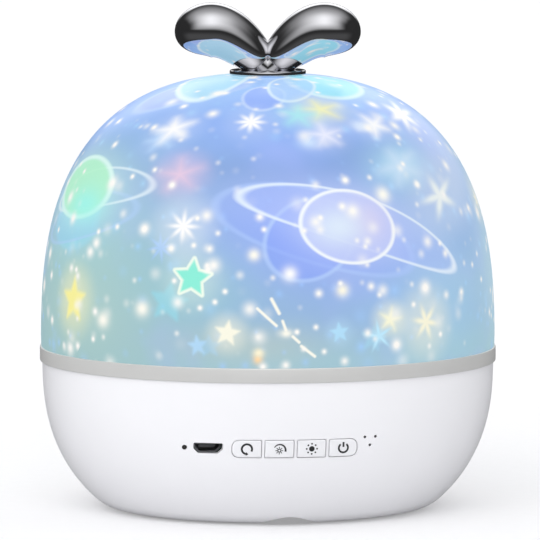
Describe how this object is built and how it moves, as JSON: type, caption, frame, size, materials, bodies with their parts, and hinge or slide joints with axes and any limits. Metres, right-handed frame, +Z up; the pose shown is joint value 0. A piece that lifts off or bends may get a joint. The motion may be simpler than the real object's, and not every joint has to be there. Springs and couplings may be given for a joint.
{
  "type": "star night light projector",
  "caption": "Round night light with a lift-off printed shade topped by a chrome whale tail, on a white base with push keys and a motor-driven film dome.",
  "frame": {"origin": "centre of the circle that the three feet stand on, at the table", "axes": "+Z up along the shade's axis; the tail's two lobes spread along X; the picture looks along +Y"},
  "size_m": [0.126, 0.126, 0.1395],
  "materials": {
    "shell_white": "smooth satin moulding",
    "key_white": "smooth satin moulding",
    "shade_print": "glossy milky shade, lit from within",
    "ring_silver": "satin silver paint",
    "tail_chrome": "mirror plating",
    "foot_rubber": "matt",
    "screw_steel": "zinc plated",
    "inner_white": "matt moulding",
    "gear_nylon": "matt moulding",
    "film_print": "printed film",
    "film_clear": "clear moulding",
    "board_green": "solder resist",
    "part_black": "matt moulding",
    "pinion_brass": "cut",
    "led_yellow": "phosphor",
    "light_lens": "smoky lens",
    "battery_sleeve": "shrunk sleeve",
    "lead_jacket": "matt jacket"
  },
  "bodies": {
    "base": {"base_shell": "shell_white", "bottom_cover": "shell_white", "rubber_feet": "foot_rubber", "cover_screws": "screw_steel", "trim_ring": "ring_silver", "deck": "inner_white", "lamp_post": "inner_white", "post_screws": "screw_steel", "led_board": "board_green", "led_board_screws": "screw_steel", "led_chips": "led_yellow", "thrust_washer": "gear_nylon", "idler_pin": "screw_steel", "gear_motor": "screw_steel", "motor_clamp": "screw_steel", "clamp_screws": "screw_steel", "battery": "battery_sleeve", "battery_lead": "lead_jacket", "motor_lead": "lead_jacket", "lamp_lead": "lead_jacket", "control_board": "board_green", "board_screws": "screw_steel", "board_parts": "inner_white", "tact_switches": "part_black", "usb_socket": "screw_steel", "charge_light": "light_lens", "beeper": "part_black"},
    "turntable": {"turntable": "inner_white", "film_dome": "film_print", "film_cover": "film_clear"},
    "idler": {"idler_gear": "gear_nylon"},
    "pinion": {"motor_shaft": "screw_steel", "drive_pinion": "pinion_brass"},
    "shade": {"shade": "shade_print", "tail": "tail_chrome", "tail_plate": "tail_chrome", "tail_screw": "screw_steel", "tail_washer": "screw_steel"},
    "key_rotation": {"key_rotation": "key_white", "stem_rotation": "part_black"},
    "key_mode": {"key_mode": "key_white", "stem_mode": "part_black"},
    "key_brightness": {"key_brightness": "key_white", "stem_brightness": "part_black"},
    "key_power": {"key_power": "key_white", "stem_power": "part_black"}
  },
  "joints": [
    {"name": "shade_lift", "type": "slide", "parent": "base", "child": "shade", "axis": [0, 0, 1], "range_m": [0, 0.09]},
    {"name": "turntable_spin", "type": "hinge", "parent": "base", "child": "turntable", "pos_m": [0, 0, 0.04], "axis": [0, 0, 1], "continuous": true},
    {"name": "idler_spin", "type": "hinge", "parent": "base", "child": "idler", "pos_m": [-0.02819, -0.0115, 0.04], "axis": [0, 0, 1], "continuous": true},
    {"name": "pinion_spin", "type": "hinge", "parent": "base", "child": "pinion", "pos_m": [-0.01289, -0.02567, 0.04], "axis": [0, 0, 1], "continuous": true},
    {"name": "press_rotation", "type": "slide", "parent": "base", "child": "key_rotation", "axis": [-0.1253, 0.9921, 0], "range_m": [0, 0.0005], "stiffness_N_per_m": 800, "springref_m": -0.0005},
    {"name": "press_mode", "type": "slide", "parent": "base", "child": "key_mode", "axis": [-0.1253, 0.9921, 0], "range_m": [0, 0.0005], "stiffness_N_per_m": 800, "springref_m": -0.0005},
    {"name": "press_brightness", "type": "slide", "parent": "base", "child": "key_brightness", "axis": [-0.1253, 0.9921, 0], "range_m": [0, 0.0005], "stiffness_N_per_m": 800, "springref_m": -0.0005},
    {"name": "press_power", "type": "slide", "parent": "base", "child": "key_power", "axis": [-0.1253, 0.9921, 0], "range_m": [0, 0.0005], "stiffness_N_per_m": 800, "springref_m": -0.0005}
  ],
  "couplings": [
    {"joint": "idler_spin", "follows": "turntable_spin", "ratio": -3.75},
    {"joint": "pinion_spin", "follows": "turntable_spin", "ratio": 8.4375}
  ]
}
